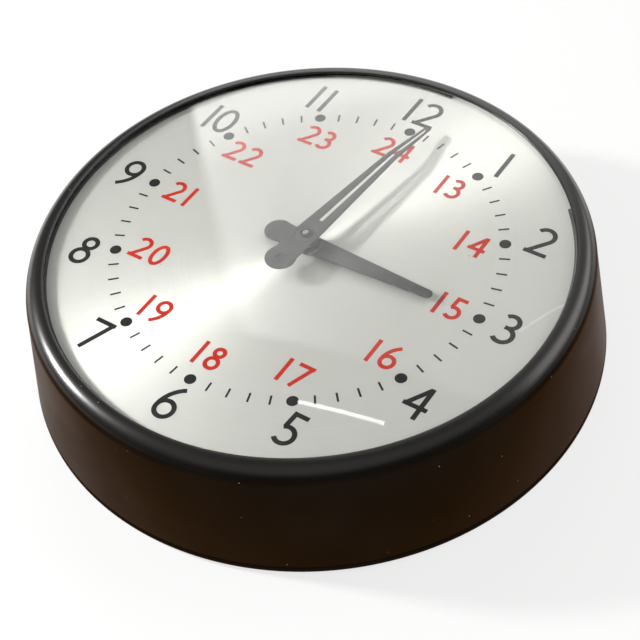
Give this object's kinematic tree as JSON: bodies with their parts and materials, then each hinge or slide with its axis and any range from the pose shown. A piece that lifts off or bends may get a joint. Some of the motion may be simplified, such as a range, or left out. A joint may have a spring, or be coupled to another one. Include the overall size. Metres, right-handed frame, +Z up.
{
  "type": "round wall clock",
  "caption": "Round wall clock with a flared black case, domed glass, a twelve-hour dial with a second ring of afternoon hours, and an impulse movement that steps its two hands.",
  "frame": {"origin": "middle of the back cover's rear face, which lies against the wall", "axes": "+Z up to 12 o'clock, +X to 3 o'clock, +Y into the wall, so the dial faces -Y"},
  "size_m": [0.3458, 0.091, 0.3458],
  "materials": {
    "satin_black": "satin moulded black",
    "clear_glass": "clear, polished",
    "ring_black": "matt black",
    "brushed_dial": "circular brushed, lacquered, printed",
    "hand_grey": "grey paint on aluminium",
    "brass": "machined",
    "steel": "bright turned",
    "zinc_steel": "zinc plated",
    "soft_iron": "grey, lightly oiled",
    "grey_paint": "matt grey paint",
    "bobbin_plastic": "moulded",
    "copper_wire": "enamelled copper winding",
    "terminal_plastic": "moulded brown",
    "lead_sleeve": "red sleeved wire"
  },
  "bodies": {
    "case": {"case_shell": "satin_black", "glass": "clear_glass", "glass_ring": "ring_black", "dial": "brushed_dial", "dial_ring": "grey_paint", "movement_bridge": "zinc_steel", "front_plate": "brass", "back_plate": "brass", "minute_wheel_stud": "steel", "yoke": "soft_iron", "armature_pin": "steel", "return_spring": "steel", "stop_screw": "steel", "backstop_pin": "steel", "terminal_block": "terminal_plastic", "back_cover": "grey_paint", "core_left": "soft_iron", "bobbin_left": "bobbin_plastic", "coil_left": "copper_wire", "core_right": "soft_iron", "bobbin_right": "bobbin_plastic", "coil_right": "copper_wire", "dial_ring_screw_1": "steel", "dial_ring_screw_2": "steel", "dial_ring_screw_3": "steel", "dial_ring_screw_4": "steel", "bridge_screw_1": "steel", "bridge_screw_2": "steel", "movement_screw_1": "steel", "movement_screw_2": "steel", "pillar_1": "brass", "pillar_2": "brass", "pillar_3": "brass", "pillar_4": "brass", "plate_screw_1": "steel", "plate_screw_2": "steel", "plate_screw_3": "steel", "plate_screw_4": "steel", "terminal_screw_1": "steel", "terminal_screw_2": "steel", "lead_wire_1": "lead_sleeve", "lead_wire_2": "lead_sleeve", "back_cover_screw_1": "steel", "back_cover_screw_2": "steel", "back_cover_screw_3": "steel", "back_cover_screw_4": "steel"},
    "minute_train": {"centre_arbor": "steel", "ratchet_wheel": "brass", "cannon_pinion": "brass", "minute_hand": "hand_grey", "minute_hand_bush": "hand_grey", "hand_nut": "steel"},
    "hour_train": {"hour_wheel": "brass", "hour_hand": "hand_grey", "hour_hand_bush": "hand_grey"},
    "motion_wheel": {"minute_wheel": "brass"},
    "armature": {"armature": "soft_iron", "drive_pawl_pin": "steel"},
    "drive_pawl": {"drive_pawl": "steel"},
    "backstop_pawl": {"backstop_pawl": "steel"}
  },
  "joints": [
    {"name": "minute_turn", "type": "hinge", "parent": "case", "child": "minute_train", "pos_m": [0, -0.0488, 0], "axis": [0, 1, 0], "continuous": true},
    {"name": "hour_turn", "type": "hinge", "parent": "case", "child": "hour_train", "pos_m": [0, -0.07, 0], "axis": [0, 1, 0], "continuous": true},
    {"name": "motion_wheel_turn", "type": "hinge", "parent": "case", "child": "motion_wheel", "pos_m": [0, -0.066, -0.018], "axis": [0, 1, 0], "continuous": true},
    {"name": "armature_swing", "type": "hinge", "parent": "case", "child": "armature", "pos_m": [0.03, -0.0488, -0.036], "axis": [0, 1, 0], "range_deg": [-1.6, 0], "stiffness_Nm_per_rad": 0.15, "springref_deg": 11.46},
    {"name": "drive_pawl_swing", "type": "hinge", "parent": "armature", "child": "drive_pawl", "pos_m": [-0.03198, -0.0488, -0.03427], "axis": [0, 1, 0], "range_deg": [-6, 0]},
    {"name": "backstop_pawl_swing", "type": "hinge", "parent": "case", "child": "backstop_pawl", "pos_m": [-0.016, -0.0488, 0.031], "axis": [0, 1, 0], "range_deg": [-8, 0]}
  ],
  "couplings": [
    {"joint": "hour_turn", "follows": "minute_turn", "ratio": 0.083333},
    {"joint": "motion_wheel_turn", "follows": "minute_turn", "ratio": -0.33333}
  ]
}
